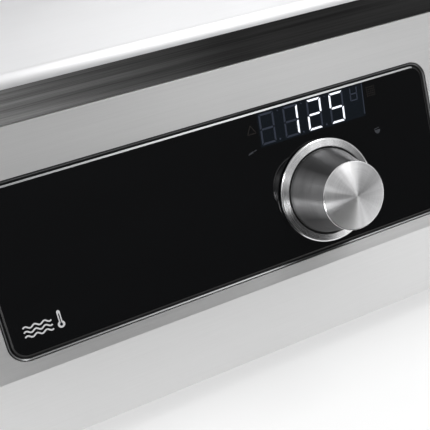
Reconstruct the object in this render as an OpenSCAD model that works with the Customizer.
// Bench-top sous vide circulator: a stainless water bath with a sloped control console.
// Frame: +Z up, the console faces -Y, origin on the bench under the middle of the bounding box.

/* [Housing] */
// Width of the housing
body_w = 360; // [350:1:400]
// Depth of the housing, without the knob and the drain tap
body_d = 500; // [495:1:540]
// Height of the rubber feet
foot_h = 16; // [12:1:20]
// Height of the upright face under the console
lower_face_h = 56; // [54:1:62]
// Length of the sloped fascia, measured up the slope
fascia_len = 110.4; // [108:0.1:116]
// Slope of the fascia above the horizontal
fascia_angle = 60; // [58:1:62]
// Height of the dark band between the fascia and the deck
band_h = 17.5; // [15:0.5:20]
// Radius of the deck's rolled edge
deck_edge_r = 4; // [3:0.5:4]
// Thickness of the sheet steel
sheet = 1.5; // [1.2:0.1:1.5]

/* [Control panel] */
// Width of the opening for the glass
panel_w = 242; // [238:1:246]
// Height of the opening for the glass
panel_h = 82; // [80:1:84]
// Corner radius of that opening
panel_r = 9; // [7:0.5:10]
// Distance from the lower fold to the opening
panel_v0 = 6.4; // [6:0.1:8]
// Width of the black seal around the glass
seal_w = 2; // [1.5:0.1:2.2]
// Thickness of the glass
glass_t = 4; // [3.5:0.5:4]

/* [Knob] */
// Knob axis to the right of the panel's middle
knob_x = 50.5; // [45:0.1:55]
// Knob axis above the lower fold, up the slope
knob_v = 38; // [36:0.1:42]
// Radius of the flat steel skirt
skirt_r = 26.4; // [25:0.1:28]
// Height of the skirt's face above the glass
skirt_top = 2.9; // [2.7:0.1:4]
// Radius of the dark cone where it meets the skirt
cone_r = 21.3; // [20:0.1:21.5]
// Radius of the spun steel cap
cap_r = 16.7; // [15.5:0.1:17]
// Height of the cap's rim above the glass
cap_top = 26.9; // [26:0.1:30]
// How far the cap is domed
cap_dome = 3; // [1.5:0.1:3.4]
// How far the knob can be pressed in
knob_travel = 1; // [0.5:0.1:1.2]

/* [Bath] */
// Width and depth of the tank, inside
tank_w = 300; // [290:1:300]
// Depth of the tank below the deck
tank_depth = 150; // [148:1:150]
// Deck between the console and the tank
apron = 102; // [98:1:106]
// Corner radius of the tank, seen from above
tank_r = 25; // [20:1:28]
// Radius between the tank's floor and its walls
tank_floor_r = 8; // [6:1:9]

/* [Lid] */
// Overlap of the lid beyond the tank, each side
lid_overlap = 12; // [11:0.5:13]
// Height of the lid's pan
lid_h = 16; // [15:1:18]

/* [Hidden] */

$fn = 72;
eps = 0.01;
run_gap = 0.05;                // radial clearance of every running fit
half_w = body_w / 2;

// Levels, from the bench upwards
fold_z = foot_h + lower_face_h;
fascia_rise = fascia_len * sin(fascia_angle);
fascia_run = fascia_len * cos(fascia_angle);
band_z = fold_z + fascia_rise;
rim_z = band_z + band_h;
deck_z = rim_z + deck_edge_r;
deck_under = deck_z - sheet;
tank_floor_z = deck_z - tank_depth;

// Knob and tap decide how far the bounding box reaches past the housing
knob_overhang = cap_top * sin(fascia_angle) - (knob_v - cap_r) * cos(fascia_angle);
valve_len = 26;
spigot_len = 22;
front_y = -(knob_overhang + body_d + valve_len + spigot_len) / 2 + knob_overhang;

// Depths, measured back from the upright front face
deck_front = fascia_run;
deck_len = body_d - deck_front;
deck_mid = deck_front + deck_len / 2;
plan_r = 6;                     // corner radius of the deck and the band, seen from above
tank_front = deck_front + apron;
tank_mid = tank_front + tank_w / 2;
tank_back = tank_front + tank_w;
wrap_t = 10;                    // insulation
steel = [0.74, 0.74, 0.75];
dark_steel = [0.2, 0.2, 0.21];
black = [0.06, 0.06, 0.07];
pcb_green = [0.1, 0.34, 0.2];
brass = [0.75, 0.6, 0.3];

// ---------------------------------------------------------------- helpers

// Everything is drawn with the upright front face at y = 0 and moved back here
module in_row() { translate([0, front_y, 0]) children(); }

// x across, y up the slope from the lower fold, z out of the fascia
module on_fascia() { in_row() translate([0, 0, fold_z]) rotate([fascia_angle, 0, 0]) children(); }

module at_knob() { on_fascia() translate([knob_x, knob_v, 0]) children(); }

module mirror_x() { children(); mirror([1, 0, 0]) children(); }

module block(x0, x1, y0, y1, z0, z1) { translate([x0, y0, z0]) cube([x1 - x0, y1 - y0, z1 - z0]); }

module along_y(r, y0, y1) { translate([0, y1, 0]) rotate([90, 0, 0]) cylinder(r = r, h = y1 - y0); }

module along_x(r, x0, x1) { translate([x0, 0, 0]) rotate([0, 90, 0]) cylinder(r = r, h = x1 - x0); }

module round_square(w, d, r) {
    square([w - 2 * r, d], center = true);
    square([w, d - 2 * r], center = true);
    for (x = [-1, 1], y = [-1, 1])
        translate([x * (w / 2 - r), y * (d / 2 - r)]) circle(r);
}

module round_plate(w, d, r, h) { linear_extrude(h) round_square(w, d, r); }

module ring(r_out, r_in, h) {
    difference() {
        cylinder(r = r_out, h = h);
        translate([0, 0, -1]) cylinder(r = r_in, h = h + 2);
    }
}

// Carries a profile round a rounded rectangle; its x runs outwards from the corner's centre
module rim_loop(w, d, r) {
    for (a = [0, 90, 180, 270]) {
        across = a % 180 == 0;
        len = (across ? d : w) - 2 * r;
        rotate(a) translate([(across ? w : d) / 2 - r, len / 2, 0]) rotate([90, 0, 0])
            linear_extrude(len) children();
        rotate(a) translate([(across ? w : d) / 2 - r, (across ? d : w) / 2 - r, 0])
            rotate_extrude(angle = 90) children();
    }
}

// A quarter ring, the section of a rolled edge of radius r and thickness t
module rolled_profile(rc, r, t) {
    translate([rc - r, 0]) intersection() {
        difference() { circle(r); circle(r - t); }
        square(r);
    }
}

module hex_nut(width, h, hole) {
    difference() {
        cylinder(d = width / cos(30), h = h, $fn = 6);
        translate([0, 0, -1]) cylinder(r = hole, h = h + 2);
    }
}

module pan_screw(r, h) {
    cylinder(r = r, h = h);
    translate([0, 0, -8]) cylinder(r = screw_r, h = 8);
}

module slot(len, w, h) {
    linear_extrude(h) {
        square([len - w, w], center = true);
        for (s = [-1, 1]) translate([s * (len - w) / 2, 0]) circle(w / 2);
    }
}

// ---------------------------------------------------------------- housing

base_front = 14;                // where the base plate takes over from the front panel's flange

// Everything inside the housing's plan, whose two rear corners are rounded
module plan_column(inset, z0, z1) {
    far = body_d - inset;
    translate([0, 0, z0]) linear_extrude(z1 - z0) {
        translate([0, far / 2 - plan_r]) square([body_w - 2 * inset, far], center = true);
        translate([0, far / 2]) square([body_w - 2 * plan_r, far], center = true);
        for (s = [-1, 1]) translate([s * (half_w - plan_r), body_d - plan_r])
            circle(plan_r - inset);
    }
}

// Folded sheet: upright face, sloped fascia with the glass opening, and a flange at both ends
module front_panel() {
    flange = base_front;
    color(steel) difference() {
        in_row() union() {
            block(-half_w, half_w, 0, sheet, foot_h, fold_z);
            difference() {
                translate([0, 0, fold_z]) rotate([fascia_angle, 0, 0])
                    block(-half_w, half_w, 0, fascia_len, -sheet, 0);
                block(-half_w - 1, half_w + 1, 0, body_d, band_z, band_z + 9);
            }
            block(-half_w + sheet, half_w - sheet, sheet - eps, flange, foot_h, foot_h + sheet);
            block(-half_w + sheet, half_w - sheet, deck_front, deck_front + flange,
                band_z - sheet, band_z);
        }
        on_fascia() translate([0, panel_v0 + panel_h / 2, -6])
            round_plate(panel_w, panel_h, panel_r, 12);
    }
}

// U-shaped wrap: left side, back and right side
module outer_casing() {
    color(steel) in_row() difference() {
        plan_column(0, foot_h, band_z);
        plan_column(sheet, foot_h - 1, band_z + 1);
        translate([-half_w - 1, -plan_r * 2, foot_h - 1])
            cube([body_w + 2, plan_r * 2 + sheet, fold_z]);
        translate([0, 0, fold_z]) rotate([fascia_angle, 0, 0])
            block(-half_w - 1, half_w + 1, -90, fascia_len + 40, -sheet, 200);
        at_screws() translate([0, 0, -6]) cylinder(r = screw_r, h = 12);
        for (s = [-1, 1], i = [0 : 5])
            translate([s * (half_w - 4), 68 + i * 9, 60]) rotate([0, 90, 0])
                translate([0, 0, s < 0 ? -6 : -2]) slot(34, 3, 8);
        rear_cutouts();
    }
}

inlet_x = -120;
inlet_z = 92;
switch_x = -72;
reset_x = -38;
stud_x = 130;
drain_x = 90;
drain_z = foot_h + 13;
port_y = body_d - sheet - 2;

module rear_cutouts() {
    translate([inlet_x, port_y, inlet_z]) block(-13.8, 13.8, 0, 6, -10, 10);
    translate([switch_x, port_y, inlet_z]) block(-7, 7, 0, 6, -11, 11);
    translate([reset_x, 0, inlet_z]) along_y(6, port_y, port_y + 6);
    translate([drain_x, 0, drain_z]) along_y(7, port_y, port_y + 6);
    translate([stud_x, 0, drain_z + 6]) along_y(3, port_y, port_y + 6);
    for (i = [0 : 7])
        translate([70 + i * 9, port_y, 120]) rotate([-90, 90, 0]) slot(40, 3, 8);
}

module base_plate() {
    fan_hole = 27;
    color(steel) in_row() difference() {
        plan_column(sheet, foot_h, foot_h + sheet);
        block(-half_w, half_w, -plan_r * 3, base_front, foot_h - 1, foot_h + 3);
        for (x = [-1, 1], y = [foot_y[0], foot_y[1]])
            translate([x * foot_x, y, foot_h - 1]) cylinder(r = 3, h = 4);
        for (a = [-18 : 9 : 18])
            translate([fan_x, fan_y + a, foot_h - 1])
                slot(2 * sqrt(fan_hole * fan_hole - a * a), 4.5, 4);
        for (i = [0 : 9])
            translate([-45 + i * 10, 38, foot_h - 1]) rotate(90) slot(24, 3, 4);
    }
}

foot_x = half_w - 34;
foot_y = [52, body_d - 42];
foot_r = 15;

module rubber_feet() {
    color(black) in_row() for (x = [-1, 1], y = foot_y) translate([x * foot_x, y, 0]) {
        cylinder(r1 = foot_r - 2, r2 = foot_r, h = foot_h);
        translate([0, 0, foot_h - eps]) cylinder(r = 3, h = sheet + eps);
    }
}

// Dark brushed frame that carries the deck and keeps its heat off the casing
module trim_band() {
    wall = 3;
    color(dark_steel) in_row() translate([0, deck_mid, band_z]) difference() {
        round_plate(body_w, deck_len, plan_r, band_h);
        translate([0, 0, -1])
            round_plate(body_w - 2 * wall, deck_len - 2 * wall, plan_r - wall, band_h + 2);
    }
}

module top_deck() {
    color(steel) in_row() translate([0, deck_mid, 0]) {
        translate([0, 0, rim_z]) rim_loop(body_w, deck_len, plan_r)
            rolled_profile(plan_r, deck_edge_r, sheet);
        difference() {
            translate([0, 0, deck_under]) round_plate(body_w - 2 * deck_edge_r,
                deck_len - 2 * deck_edge_r, plan_r - deck_edge_r, sheet);
            translate([0, tank_mid - deck_mid, deck_under - 1])
                round_plate(tank_w, tank_w, tank_r, sheet + 2);
        }
    }
}

// ---------------------------------------------------------------- bath

// Solid body of the tank, with a rounded floor edge
module tank_form(grow, z0, top) {
    w = tank_w + 2 * grow;
    rc = tank_r + grow;
    rf = tank_floor_r + grow;
    translate([0, 0, z0 + rf]) round_plate(w, w, rc, top - z0 - rf);
    translate([0, 0, z0]) round_plate(w - 2 * rf, w - 2 * rf, rc - rf, rf + eps);
    translate([0, 0, z0 + rf]) rim_loop(w, w, rc)
        translate([rc - rf, 0]) intersection() {
            circle(rf);
            translate([0, -rf]) square([rf, rf]);
        }
}

pump_x = -88;
pump_z = 104;
probe_x = 20;
probe_z = 92;
heater_z = tank_floor_z + 17;
heater_r = 4;
leg_pitch = 50;
lead_x = 1.5 * leg_pitch;

module bath_tank() {
    lip = 14;
    color(steel) in_row() translate([0, tank_mid, 0]) difference() {
        union() {
            tank_form(sheet, tank_floor_z - sheet, deck_under);
            translate([0, 0, deck_under - sheet])
                round_plate(tank_w + 2 * lip, tank_w + 2 * lip, tank_r + lip, sheet);
        }
        tank_form(0, tank_floor_z, deck_under + 1);
        translate([0, -tank_mid, 0]) wall_holes(tank_front - 4, tank_front + 3);
        translate([drain_x, tank_w / 2 - 32, tank_floor_z - 4]) cylinder(r = 7, h = 8);
    }
}

// Holes through the tank's front wall for the pump, the probe and the heater's two ends
module wall_holes(y0, y1) {
    translate([pump_x, 0, pump_z]) along_y(9, y0, y1);
    translate([probe_x, 0, probe_z]) along_y(3, y0, y1);
    for (s = [-1, 1]) translate([s * lead_x, 0, heater_z]) along_y(heater_r, y0, y1);
}

module tank_insulation() {
    z0 = tank_floor_z + 28;
    h = deck_under - sheet - 4 - z0;
    outer = tank_w + 2 * (sheet + wrap_t);
    color([0.9, 0.88, 0.8]) in_row() difference() {
        translate([0, tank_mid, z0]) round_plate(outer, outer, tank_r + wrap_t, h);
        translate([0, tank_mid, z0 - 1])
            round_plate(tank_w + 2 * sheet, tank_w + 2 * sheet, tank_r + sheet, h + 2);
        translate([pump_x, 0, pump_z]) along_y(36, tank_front - 20, tank_front + 4);
        translate([probe_x, 0, probe_z]) along_y(9, tank_front - 20, tank_front + 4);
    }
}

// Perforated plate that keeps the food off the heater, on two folded legs
module false_floor() {
    w = tank_w - 28;
    top_z = tank_floor_z + 28;
    leg_x = w / 2;
    pitch = 22;
    color(steel) in_row() translate([0, tank_mid, 0]) {
        difference() {
            translate([0, 0, top_z - sheet]) round_plate(w, w, 14, sheet);
            for (i = [-5 : 5], j = [-5 : 5])
                translate([i * pitch, j * pitch, top_z - 4]) cylinder(r = 5, h = 6, $fn = 24);
        }
        mirror_x() block(leg_x - sheet, leg_x, -w / 2 + 30, w / 2 - 30,
            tank_floor_z, top_z - sheet + eps);
    }
}

// One tube: in through the front wall, three bends, and out beside where it came in
module heater_element() {
    far = tank_back - 58;
    near = tank_front + 52;
    out = tank_front - 26;
    color([0.45, 0.43, 0.42]) in_row() translate([0, 0, heater_z]) {
        for (s = [-1, 1]) {
            translate([s * lead_x, 0, 0]) along_y(heater_r, out, far);
            translate([s * leg_pitch / 2, 0, 0]) along_y(heater_r, near, far);
            translate([s * leg_pitch, far, 0]) rotate_extrude(angle = 180)
                translate([leg_pitch / 2, 0]) circle(heater_r);
        }
        translate([0, near, 0]) rotate(180) rotate_extrude(angle = 180)
            translate([leg_pitch / 2, 0]) circle(heater_r);
    }
}

module heater_glands() {
    color(brass) in_row() for (s = [-1, 1]) translate([s * lead_x, 0, heater_z]) {
        translate([0, tank_front, 0]) rotate([-90, 0, 0]) hex_nut(14, 5, heater_r);
        translate([0, tank_front - sheet, 0]) rotate([90, 0, 0]) hex_nut(14, 5, heater_r);
    }
}

// ---------------------------------------------------------------- pump

motor_r = 30;
motor_len = 62;
motor_y = tank_front - sheet;
shaft_r = 4;
volute_r = 32;
volute_len = 24;

module pump_motor() {
    fins = 16;
    color([0.25, 0.25, 0.27]) in_row() translate([pump_x, 0, pump_z]) difference() {
        union() {
            along_y(motor_r, motor_y - motor_len, motor_y - 4);
            along_y(34, motor_y - 4, motor_y);
            along_y(motor_r - 6, motor_y - motor_len - 8, motor_y - motor_len);
            for (i = [0 : fins - 1]) rotate([0, i * 360 / fins, 0])
                block(-1, 1, motor_y - motor_len + 8, motor_y - 12, motor_r - 1, motor_r + 3);
        }
        along_y(shaft_r + run_gap, motor_y - motor_len + 4, motor_y + 1);
        along_y(9, motor_y - 6, motor_y + 1);
    }
}

module pump_shaft() {
    color(steel) in_row() translate([pump_x, 0, pump_z])
        along_y(shaft_r, motor_y - motor_len + 6, tank_front + 19);
}

module shaft_seal() {
    color(black) in_row() translate([pump_x, 0, pump_z]) difference() {
        along_y(9, motor_y - 6, tank_front + 1);
        along_y(shaft_r + run_gap, motor_y - 8, tank_front + 4);
    }
}

// Volute on the tank's front wall, with an inlet in its cover and a nozzle to the side
module pump_housing() {
    wall = 2;
    back = tank_front;
    nozzle_r = 8;
    nozzle_z = volute_r - nozzle_r - 1;
    color([0.15, 0.15, 0.16]) in_row() translate([pump_x, 0, pump_z]) difference() {
        union() {
            along_y(volute_r, back, back + volute_len);
            translate([0, back + volute_len / 2, nozzle_z]) along_x(nozzle_r + wall, 0, volute_r + 16);
            for (a = [45 : 90 : 315]) rotate([0, a, 0]) translate([volute_r + 2, 0, 0])
                along_y(5, back, back + 4);
        }
        along_y(volute_r - wall, back + wall, back + volute_len - wall);
        difference() {
            along_y(14, back + 2, back + volute_len + 1);
            for (a = [0, 90]) rotate([0, a, 0])
                block(-15, 15, back + volute_len - wall, back + volute_len + 2, -1.2, 1.2);
        }
        along_y(9 + run_gap, back - 1, back + wall + 1);
        translate([0, back + volute_len / 2, nozzle_z]) along_x(nozzle_r, 2, volute_r + 17);
    }
}

module pump_impeller() {
    y0 = tank_front + 5;
    blades = 7;
    color([0.85, 0.85, 0.82]) in_row() translate([pump_x, 0, pump_z]) difference() {
        union() {
            along_y(24, y0, y0 + 2);
            along_y(8, y0, y0 + 13);
            for (i = [0 : blades - 1]) rotate([0, i * 360 / blades, 0])
                translate([6, 0, 0]) rotate([0, 24, 0]) block(0, 18, y0 + 1, y0 + 13, -1, 1);
        }
        along_y(shaft_r, y0 - 1, y0 + 20);
    }
}

module temperature_probe() {
    color(steel) in_row() translate([probe_x, 0, probe_z]) {
        along_y(3, tank_front - 16, tank_front + 46);
        translate([0, tank_front, 0]) rotate([-90, 0, 0]) hex_nut(12, 4, 3);
        translate([0, tank_front - sheet, 0]) rotate([90, 0, 0]) hex_nut(12, 4, 3);
    }
}

// ---------------------------------------------------------------- level switch

level_x = 110;
level_y = tank_front + 26;
stem_r = 4;
stem_top = deck_under - 24;
stem_bottom = stem_top - 62;
float_h = 22;
float_travel = 12;
float_z = stem_bottom + 5;

module level_switch_stem() {
    color(steel) in_row() translate([level_x, 0, 0]) {
        block(-12, 12, tank_front, tank_front + 2, stem_top - 20, stem_top + 3);
        block(-12, 12, tank_front, level_y + 10, stem_top, stem_top + 3);
        translate([0, level_y, stem_bottom]) cylinder(r = stem_r, h = stem_top - stem_bottom + eps);
        translate([0, level_y, stem_bottom]) cylinder(r = 7, h = 4);
        translate([0, level_y, float_z + float_h + float_travel + 1]) cylinder(r = 7, h = 3);
        translate([0, level_y, stem_top + 3]) cylinder(r = 7, h = 5, $fn = 6);
    }
}

module level_float() {
    color([0.9, 0.9, 0.88]) in_row() translate([level_x, level_y, float_z])
        ring(11.5, stem_r + 0.5, float_h);
}

// ---------------------------------------------------------------- drain

bore_r = 4.5;
elbow_r = 6;
sump_y = tank_back - 32;
valve_y = body_d;
ball_y = valve_y + 13;
ball_r = 7.5;
spigot_r = 6.5;                // takes a 13 mm hose

module drain_elbow() {
    color(brass) in_row() translate([drain_x, 0, 0]) difference() {
        union() {
            translate([0, sump_y, drain_z]) cylinder(r = 7, h = tank_floor_z - drain_z);
            translate([0, sump_y, drain_z]) sphere(7);
            translate([0, 0, drain_z]) along_y(7, sump_y, valve_y);
        }
        translate([0, sump_y, drain_z]) cylinder(r = bore_r, h = 40);
        translate([0, sump_y, drain_z]) sphere(bore_r);
        translate([0, 0, drain_z]) along_y(bore_r, sump_y, valve_y + 1);
    }
}

module drain_valve_body() {
    color(brass) in_row() translate([drain_x, 0, drain_z]) difference() {
        union() {
            translate([0, valve_y, 0]) rotate([-90, 0, 0]) cylinder(r = 12, h = 3, $fn = 6);
            along_y(11, valve_y + 3, valve_y + valve_len);
            along_y(spigot_r, valve_y + valve_len, valve_y + valve_len + spigot_len);
            translate([0, ball_y, 0]) cylinder(r = 6, h = 14);
        }
        along_y(bore_r, valve_y - 1, valve_y + valve_len + spigot_len + 1);
        translate([0, ball_y, 0]) sphere(ball_r + 0.1);
        translate([0, ball_y, 0]) cylinder(r = 3 + run_gap, h = 20);
    }
}

// Ball with its bore across the flow, and the stem that turns it
module drain_ball() {
    color(steel) in_row() translate([drain_x, ball_y, drain_z]) {
        difference() {
            sphere(ball_r);
            along_x(bore_r, -20, 20);
        }
        translate([0, 0, bore_r + 1.4]) cylinder(r = 3, h = 19 - bore_r - 1.4);
    }
}

module drain_lever() {
    color([0.62, 0.1, 0.08]) in_row() translate([drain_x, ball_y, drain_z + 15]) difference() {
        union() {
            cylinder(r = 7, h = 3);
            block(0, 40, -5, 5, 0, 3);
            translate([40, 0, 0]) cylinder(r = 5, h = 3);
        }
        translate([0, 0, -1]) cylinder(r = 3, h = 6);
    }
}

// ---------------------------------------------------------------- rear ports

inlet_t = 3;

module mains_inlet() {
    color(black) in_row() translate([inlet_x, body_d, inlet_z]) difference() {
        union() {
            block(-25, 25, 0, inlet_t, -11.5, 11.5);
            block(-13.8, 13.8, -22, eps, -10, 10);
        }
        block(-12, 12, -18, 4, -8, 8);
        for (s = [-1, 1]) translate([s * 20, -1, 0]) rotate([-90, 0, 0]) cylinder(r = screw_r, h = 9);
    }
    color(brass) in_row() translate([inlet_x, body_d, inlet_z])
        for (x = [-7, 0, 7])
            block(x - 1, x + 1, -18 - eps, -4, (x == 0 ? 3 : -3) - 2, (x == 0 ? 3 : -3) + 2);
}

rocker_half = 9.5;
rocker_tilt = 8;

module power_switch_frame() {
    color(black) in_row() translate([switch_x, body_d, inlet_z]) difference() {
        union() {
            block(-9, 9, 0, 2, -13, 13);
            block(-7, 7, -20, eps, -11, 11);
        }
        block(-5.4, 5.4, -9, 3, -rocker_half - 0.8, rocker_half + 0.8);
        translate([0, -1, 0]) along_x(1.5 + run_gap, -6.6, 6.6);
    }
}

module power_rocker() {
    color([0.5, 0.06, 0.05]) in_row() translate([switch_x, body_d - 1, inlet_z])
        rotate([rocker_tilt, 0, 0]) {
            along_x(1.5, -6.4, 6.4);
            difference() {
                block(-5, 5, -5, 5, -rocker_half + 0.6, rocker_half - 0.6);
                translate([0, 24, 0]) along_x(21, -6, 6);
            }
        }
}

reset_travel = 1.5;

module limit_thermostat() {
    color([0.2, 0.2, 0.22]) in_row() translate([reset_x, 0, inlet_z]) difference() {
        union() {
            along_y(9, body_d, body_d + 2);
            along_y(6, body_d - 20, body_d + 3);
        }
        along_y(3.5 + run_gap, body_d - 12, body_d + 4);
    }
}

module reset_button() {
    color([0.7, 0.1, 0.08]) in_row() translate([reset_x, 0, inlet_z])
        along_y(3.5, body_d - 10, body_d + 3 + reset_travel + 0.5);
}

module bonding_stud() {
    color(brass) in_row() translate([stud_x, 0, drain_z + 6]) {
        along_y(3, body_d - 8, body_d + 16);
        translate([0, body_d, 0]) rotate([-90, 0, 0]) hex_nut(10, 4, 2.9);
        translate([0, body_d - sheet, 0]) rotate([90, 0, 0]) hex_nut(10, 4, 2.9);
    }
}

module side_handles() {
    reach = 30;
    bar_r = 5;
    y0 = tank_mid - 60;
    y1 = tank_mid + 60;
    z = 122;
    color(steel) in_row() mirror_x() {
        for (y = [y0, y1]) translate([half_w, y, z]) {
            rotate([0, 90, 0]) cylinder(r = bar_r, h = reach - 8);
            rotate([0, 90, 0]) cylinder(r = 9, h = 2);
        }
        translate([half_w + reach - 8, y0 + 8, z]) rotate(-90)
            rotate_extrude(angle = 90) translate([8, 0]) circle(bar_r);
        translate([half_w + reach - 8, y1 - 8, z])
            rotate_extrude(angle = 90) translate([8, 0]) circle(bar_r);
        translate([half_w + reach, 0, z]) along_y(bar_r, y0 + 8, y1 - 8);
    }
}

screw_r = 1.75;

// Each place where a screw goes through the casing, z outwards
module at_screws() {
    for (x = [-half_w + 14, half_w - 14], z = [foot_h + 14, band_z - 14])
        translate([x, body_d, z]) rotate([-90, 0, 0]) children();
    for (s = [-1, 1], y = [80, tank_mid, body_d - 30])
        translate([s * half_w, y, foot_h + 9]) rotate([0, s * 90, 0]) children();
    for (s = [-1, 1])
        translate([inlet_x + s * 20, body_d, inlet_z]) rotate([-90, 0, 0]) children();
}

module casing_screws() {
    color([0.6, 0.6, 0.62]) in_row() difference() {
        union() {
            at_screws() pan_screw(3.6, 2);
            for (s = [-1, 1]) translate([inlet_x + s * 20, body_d + inlet_t, inlet_z])
                rotate([-90, 0, 0]) cylinder(r = 3.6, h = 2);
        }
        for (s = [-1, 1]) translate([inlet_x + s * 20, body_d, inlet_z]) rotate([-90, 0, 0])
            ring(9, screw_r, inlet_t);
    }
}

// ---------------------------------------------------------------- console

module panel_plate(inset, h) {
    translate([0, panel_v0 + panel_h / 2, 0])
        round_plate(panel_w - 2 * inset, panel_h - 2 * inset, panel_r - inset, h);
}

module glass_panel() {
    color(black) on_fascia() difference() {
        translate([0, 0, -glass_t]) panel_plate(seal_w, glass_t);
        translate([knob_x, knob_v, -9]) cylinder(r = 5, h = 12);
    }
}

module panel_seal() {
    color([0.03, 0.03, 0.03]) on_fascia() difference() {
        translate([0, 0, -glass_t]) panel_plate(0, glass_t - 0.5);
        translate([0, 0, -glass_t - 1]) panel_plate(seal_w, glass_t + 2);
    }
}

// Tray that the glass is bonded to, hung behind the fascia sheet
module glass_carrier() {
    over = 4;
    tray = 2;
    color(steel) on_fascia() difference() {
        translate([0, 0, -glass_t - tray]) panel_plate(-over, glass_t + tray - sheet);
        translate([0, 0, -glass_t]) panel_plate(-1, glass_t);
        translate([0, 0, -glass_t - tray - 1]) panel_plate(seal_w + 2, 6);
    }
}

board_w = 14.4;                // depth of the control board's face behind the glass
board_t = 1.6;

module control_board() {
    posts = [[-104, 16], [104, 16], [-104, 78], [104, 78]];
    color(pcb_green) on_fascia() {
        difference() {
            translate([-112, panel_v0 + 4, -board_w - board_t]) cube([224, panel_h - 8, board_t]);
            for (p = posts) translate([p[0], p[1], -20]) cylinder(r = 1.6, h = 8);
        }
        for (i = [0 : 4]) translate([-86 + i * 24, 34, -board_w - board_t - 2])
            cube([12, 12, 2 + eps]);
        translate([-60, 62, -board_w - board_t - 8]) cube([34, 9, 8 + eps]);
        for (p = posts) translate([p[0], p[1], -board_w - board_t - 1])
            cylinder(r = 1.6, h = board_w + board_t + 1 - glass_t);
    }
}

module display_module() {
    color([0.1, 0.11, 0.14]) on_fascia() 
        translate([22, 68, -board_w]) cube([60.6, 16.2, board_w - glass_t]);
}

rotor_top = -9.5;
bush_top = 1.2;                // nut and bush stand this far out of the glass

module encoder_body() {
    color([0.55, 0.55, 0.58]) at_knob() difference() {
        union() {
            block(-8, 8, -8, 8, -board_w, -6.5);
            translate([0, 0, -7]) cylinder(r = 4.7, h = 7 + bush_top);
            cylinder(r = 6.5, h = bush_top, $fn = 6);
        }
        translate([0, 0, -board_w + 0.6]) cylinder(r = 6.4, h = board_w - 8.4);
        translate([0, 0, -board_w - 1]) cylinder(r = 3 + run_gap, h = 40);
    }
}

// The shaft's section, round with one flat
module d_section(r, h) {
    difference() {
        cylinder(r = r, h = h);
        translate([r - 0.9, -r, -1]) cube([r, 2 * r, h + 2]);
    }
}

module encoder_rotor() {
    color([0.8, 0.8, 0.75]) at_knob() translate([0, 0, rotor_top - 2.5]) difference() {
        cylinder(r = 6, h = 2.5);
        translate([0, 0, -1]) d_section(3 + run_gap, 5);
    }
}

module knob_shaft() {
    color(steel) at_knob() {
        translate([0, 0, -12.8]) d_section(3, 7);
        translate([0, 0, -5.8 - eps]) cylinder(r = 3, h = 22);
    }
}

skirt_t = 1.4;
groove_w = 1;
groove_d = 0.9;

module knob_skirt() {
    color(steel) at_knob() difference() {
        translate([0, 0, skirt_top - skirt_t]) cylinder(r = skirt_r, h = skirt_t);
        translate([0, 0, skirt_top - groove_d]) ring(cone_r + groove_w, cone_r, 2);
        cylinder(r = 7, h = 9);
    }
}

module knob_ring() {
    color(black) at_knob() translate([0, 0, skirt_top - groove_d]) ring(cone_r + groove_w, cone_r, 0.6);
}

cap_edge = 0.9;

module knob_body() {
    base = cap_top - cap_edge;
    color([0.16, 0.16, 0.17]) at_knob() difference() {
        translate([0, 0, skirt_top])
            cylinder(r1 = cone_r, r2 = cap_r - 0.4, h = base - skirt_top);
        cylinder(r = 3, h = 16.2 - eps);
    }
}

module knob_cap() {
    dome_r = (cap_r * cap_r + cap_dome * cap_dome) / (2 * cap_dome);
    color(steel) at_knob() translate([0, 0, cap_top - cap_edge]) intersection() {
        cylinder(r = cap_r, h = 12);
        translate([0, 0, cap_edge + cap_dome - dome_r]) sphere(dome_r, $fn = 180);
    }
}

// ---------------------------------------------------------------- power electronics

shelf_z = foot_h + sheet;      // top of the base plate

module power_board() {
    color(pcb_green) in_row() {
        block(-58, 58, 24, 118, shelf_z + 8, shelf_z + 9.6);
        for (x = [-53, 53], y = [29, 113])
            translate([x, y, shelf_z]) cylinder(r = 3, h = 8 + eps);
    }
}

board_top = shelf_z + 9.6;

module transformer() {
    color([0.3, 0.28, 0.24]) in_row() translate([-36, 60, board_top]) {
        block(-14, 14, -12, 12, 0, 20);
        block(-9, 9, -16, 16, 3, 17);
    }
}

module capacitors() {
    color([0.12, 0.14, 0.3]) in_row()
        for (x = [-2, 14]) translate([x, 96, board_top]) cylinder(r = 6.3, h = 18);
}

module power_relays() {
    color([0.1, 0.22, 0.45]) in_row()
        for (x = [-8, 12]) translate([x, 66, board_top]) block(-8, 8, -10, 10, 0, 16);
}

module heat_sink() {
    fins = 7;
    color([0.7, 0.71, 0.72]) in_row() translate([42, 50, board_top]) {
        block(-12, 12, -18, 18, 0, 3);
        for (i = [0 : fins - 1]) translate([-12 + i * 3.75, 0, 0])
            block(0, 1.5, -18, 18, 3 - eps, 22);
    }
}

module terminal_block() {
    color([0.2, 0.5, 0.25]) in_row() translate([-36, 102, board_top]) difference() {
        block(-20, 14, -6, 6, 0, 12);
        for (i = [0 : 4]) translate([-16 + i * 6.5, 0, 5]) cylinder(r = 2, h = 9);
    }
}

fan_x = 112;
fan_y = 92;
fan_half = 30;
fan_h = 15;
fan_z = shelf_z;

module fan_frame() {
    color(black) in_row() translate([fan_x, fan_y, fan_z]) {
        difference() {
            translate([0, 0, 0]) round_plate(2 * fan_half, 2 * fan_half, 4, fan_h);
            translate([0, 0, -1]) cylinder(r = fan_half - 1.5, h = fan_h + 2);
            for (x = [-1, 1], y = [-1, 1])
                translate([x * 25, y * 25, -1]) cylinder(r = 1.8, h = fan_h + 2);
        }
        difference() {
            union() {
                cylinder(r = 12, h = 2);
                for (a = [30 : 120 : 270]) rotate(a) block(10, fan_half - 1, -2, 2, 0, 2);
                cylinder(r = 4, h = 6);
            }
            translate([0, 0, 2.2]) cylinder(r = 1.5 + run_gap, h = 9);
        }
    }
}

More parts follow.
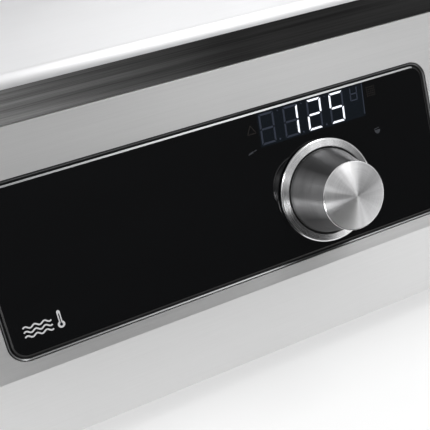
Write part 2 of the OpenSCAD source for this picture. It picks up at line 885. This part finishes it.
module fan_rotor() {
    blades = 7;
    color([0.12, 0.12, 0.13]) in_row() translate([fan_x, fan_y, fan_z]) {
        difference() {
            translate([0, 0, 3]) cylinder(r = 13, h = 11);
            translate([0, 0, 2]) cylinder(r = 11, h = 10);
        }
        translate([0, 0, 2.5]) cylinder(r = 1.5, h = 10);
        for (i = [0 : blades - 1]) rotate(i * 360 / blades)
            intersection() {
                translate([0, 0, 3]) ring(27, 12.5, 11);
                translate([20, 0, 8.5]) rotate([38, 0, 0]) cube([24, 15, 1.4], center = true);
            }
    }
}

// ---------------------------------------------------------------- lid

lid_w = tank_w + 2 * lid_overlap;
lid_z = deck_z + 1.4;
lid_top = lid_z + lid_h;
lid_edge = 5;
lid_wall = 1.2;
lid_r = 22;
hinge_y = tank_back + lid_overlap + 15;
hinge_z = lid_top - 6;
hinge_x = 95;
pin_r = 3;

module lid_pan() {
    flat = lid_w - 2 * lid_edge;
    color(steel) in_row() translate([0, tank_mid, lid_z]) {
        translate([0, 0, lid_h - lid_wall]) round_plate(flat, flat, lid_r - lid_edge, lid_wall);
        translate([0, 0, lid_h - lid_edge]) rim_loop(lid_w, lid_w, lid_r)
            rolled_profile(lid_r, lid_edge, lid_wall);
        difference() {
            round_plate(lid_w, lid_w, lid_r, lid_h - lid_edge);
            translate([0, 0, -1])
                round_plate(lid_w - 2 * lid_wall, lid_w - 2 * lid_wall, lid_r - lid_wall, lid_h);
        }
        difference() {
            round_plate(lid_w - lid_wall, lid_w - lid_wall, lid_r - lid_wall / 2, lid_wall);
            translate([0, 0, -1])
                round_plate(lid_w - 24, lid_w - 24, lid_r - 10, lid_wall + 2);
        }
    }
}

module lid_seal() {
    color([0.12, 0.12, 0.12]) in_row() translate([0, tank_mid, deck_z + 0.2]) difference() {
        round_plate(lid_w - 4, lid_w - 4, lid_r - 2, 1.2);
        translate([0, 0, -1]) round_plate(lid_w - 16, lid_w - 16, lid_r - 8, 4);
    }
}

module hinge_brackets() {
    ear = 4;
    gap = 14;
    color(steel) in_row() mirror_x() translate([hinge_x, hinge_y, 0]) difference() {
        union() {
            block(-gap - ear, gap + ear, -7, 11, deck_z, deck_z + 2);
            for (s = [-1, 1]) translate([s * (gap + ear / 2), 0, 0]) {
                block(-ear / 2, ear / 2, -6, 6, deck_z, hinge_z);
                translate([0, 0, hinge_z]) along_x(6, -ear / 2, ear / 2);
            }
        }
        translate([0, 0, hinge_z]) along_x(pin_r, -gap - ear - 1, gap + ear + 1);
    }
}

module hinge_pins() {
    color([0.62, 0.62, 0.64]) in_row() mirror_x() translate([hinge_x, hinge_y, hinge_z]) {
        along_x(pin_r, -19, 19);
        for (s = [-1, 1]) translate([s * 19, 0, 0]) along_x(4.4, -1, 1);
    }
}

module lid_hinge_arms() {
    half = 13.7;
    back = tank_back + lid_overlap;
    color(steel) in_row() mirror_x() translate([hinge_x, 0, 0]) difference() {
        union() {
            block(-half, half, back - 32, hinge_y, lid_top, lid_top + 3);
            block(-half, half, back + 0.4, hinge_y, hinge_z, lid_top + eps);
            translate([0, hinge_y, hinge_z]) along_x(6, -half, half);
            translate([0, hinge_y, hinge_z]) along_x(6, -half, half);
            for (x = [-8, 8]) translate([x, back - 22, lid_top + 3 - eps]) cylinder(r = 3.5, h = 2);
        }
        translate([0, hinge_y, hinge_z]) along_x(pin_r + run_gap, -half - 1, half + 1);
    }
}

handle_y = tank_front + 34;
handle_x = 62;
handle_z = lid_top + 32;
grip_r = 8;

module lid_handle_posts() {
    color(steel) in_row() difference() {
        mirror_x() translate([handle_x, handle_y, lid_top]) {
            cylinder(r = 6.5, h = handle_z - lid_top);
            cylinder(r = 10, h = 2.5);
        }
        translate([0, handle_y, handle_z]) along_x(grip_r, -half_w, half_w);
    }
}

module lid_handle_grip() {
    color(black) in_row() translate([0, handle_y, handle_z]) {
        along_x(grip_r, -handle_x - 14, handle_x + 14);
        for (s = [-1, 1]) translate([s * (handle_x + 14), 0, 0]) sphere(grip_r);
    }
}

// ---------------------------------------------------------------- assembly

front_panel();
outer_casing();
base_plate();
rubber_feet();
trim_band();
top_deck();
bath_tank();
tank_insulation();
false_floor();
heater_element();
heater_glands();
glass_panel();
panel_seal();
glass_carrier();
control_board();
display_module();
encoder_body();
encoder_rotor();
knob_shaft();
knob_skirt();
knob_ring();
knob_body();
knob_cap();
power_board();
transformer();
capacitors();
power_relays();
heat_sink();
terminal_block();
fan_frame();
fan_rotor();
pump_motor();
pump_shaft();
shaft_seal();
pump_housing();
pump_impeller();
temperature_probe();
level_switch_stem();
level_float();
drain_elbow();
drain_valve_body();
drain_ball();
drain_lever();
mains_inlet();
power_switch_frame();
power_rocker();
limit_thermostat();
reset_button();
bonding_stud();
side_handles();
hinge_brackets();
hinge_pins();
lid_pan();
lid_seal();
lid_hinge_arms();
lid_handle_posts();
lid_handle_grip();
casing_screws();
